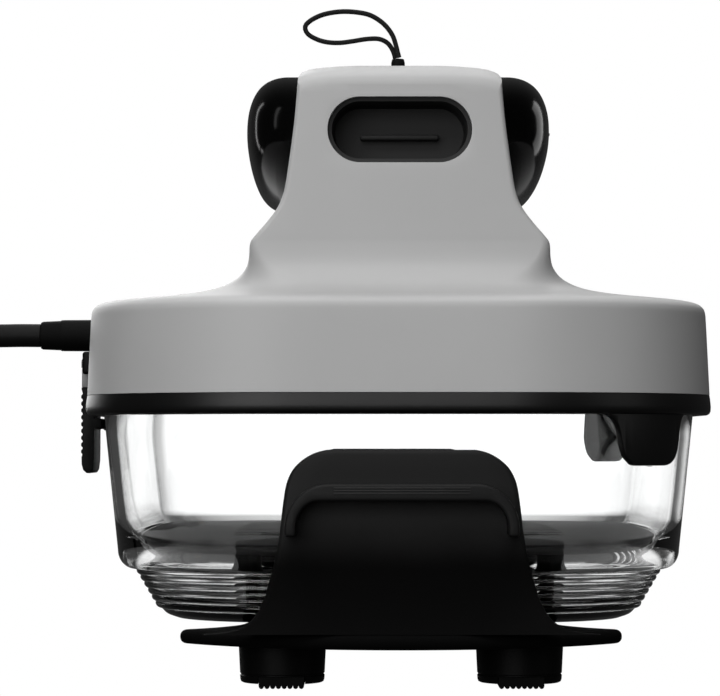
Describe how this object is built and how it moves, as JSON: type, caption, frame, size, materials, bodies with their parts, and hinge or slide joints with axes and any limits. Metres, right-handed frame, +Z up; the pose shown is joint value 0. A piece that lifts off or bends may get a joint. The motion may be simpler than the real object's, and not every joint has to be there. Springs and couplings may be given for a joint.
{
  "type": "portable glass-bowl air fryer",
  "caption": "Counter-top hot-air cooker: grey heater head with a carrying band and glossy pods, sealed on a clear ribbed glass bowl that stands in a black carrying stand.",
  "frame": {"origin": "centre of the machine's box on the surface it stands on, without its mains lead", "axes": "+Z up; +Y along the machine, from one carrying handle to the other; +X towards the control pod; the latch and the mains lead are on the -X side"},
  "size_m": [0.4442, 0.3638, 0.2515],
  "materials": {
    "head_grey": "satin grey moulding",
    "pod_black": "polished black",
    "black_plastic": "fine matt black moulding",
    "black_rubber": "dull black rubber",
    "cord_black": "black flexible sheath",
    "clear_glass": "clear pressed borosilicate",
    "bright_steel": "bright sheet steel",
    "dark_steel": "dark non-stick coat",
    "board_green": "circuit board lacquer",
    "brass": "plain brass"
  },
  "bodies": {
    "base": {"stand_base": "black_plastic", "handle_front": "black_plastic", "handle_back": "black_plastic", "glass_bowl": "clear_glass", "foot_back_left": "black_plastic", "foot_back_right": "black_plastic", "foot_front_left": "black_plastic", "foot_front_right": "black_plastic", "tread_back_left": "black_rubber", "tread_back_right": "black_rubber", "tread_front_left": "black_rubber", "tread_front_right": "black_rubber"},
    "crisper": {"crisper_foot_back_left": "black_rubber", "crisper_foot_back_right": "black_rubber", "crisper_foot_front_left": "black_rubber", "crisper_foot_front_right": "black_rubber", "crisper_plate": "dark_steel"},
    "head": {"control_board": "board_green", "control_pod": "pod_black", "cord_clip": "black_rubber", "cord_coil": "cord_black", "cord_strain_relief": "black_rubber", "cord_tail": "cord_black", "fan_motor": "dark_steel", "grip_liner_back": "black_plastic", "grip_liner_front": "black_plastic", "head_housing": "head_grey", "heater_guard": "bright_steel", "heater_reflector": "bright_steel", "heating_element": "dark_steel", "lanyard_gland": "black_rubber", "lanyard_loop": "cord_black", "latch_ear_back": "black_plastic", "latch_ear_front": "black_plastic", "latch_pin": "bright_steel", "latch_spring": "bright_steel", "mains_cord": "cord_black", "motor_bearing": "brass", "motor_bracket": "bright_steel", "plug_blade_left": "brass", "plug_blade_right": "brass", "plug_body": "cord_black", "plug_earth_pin": "brass", "power_board": "board_green", "rear_pod": "pod_black", "rim_ring": "black_plastic", "seal_ring": "black_rubber", "thermal_cutout": "brass", "thermostat": "brass"},
    "rotor": {"circulation_fan": "bright_steel", "motor_shaft": "bright_steel", "cooling_fan": "bright_steel", "fan_nut": "bright_steel"},
    "latch": {"latch_lever": "black_plastic", "latch_pad": "black_rubber"},
    "latch_release": {"latch_button": "head_grey"}
  },
  "joints": [
    {"name": "head_lift", "type": "slide", "parent": "base", "child": "head", "axis": [0, 0, 1], "range_m": [0, 0.12]},
    {"name": "crisper_lift", "type": "slide", "parent": "base", "child": "crisper", "axis": [0, 0, 1], "range_m": [0, 0.03]},
    {"name": "fan_spin", "type": "hinge", "parent": "head", "child": "rotor", "pos_m": [0.0041, 0, 0.1132], "axis": [0, 0, 1], "continuous": true},
    {"name": "latch_swing", "type": "hinge", "parent": "head", "child": "latch", "pos_m": [-0.1178, 0, 0.118], "axis": [0, 1, 0], "range_deg": [0, 22], "stiffness_Nm_per_rad": 0.04, "springref_deg": -17.19},
    {"name": "latch_button_press", "type": "slide", "parent": "latch", "child": "latch_release", "axis": [1, 0, 0], "range_m": [0, 0.0015], "stiffness_N_per_m": 250, "springref_m": -0.001}
  ]
}
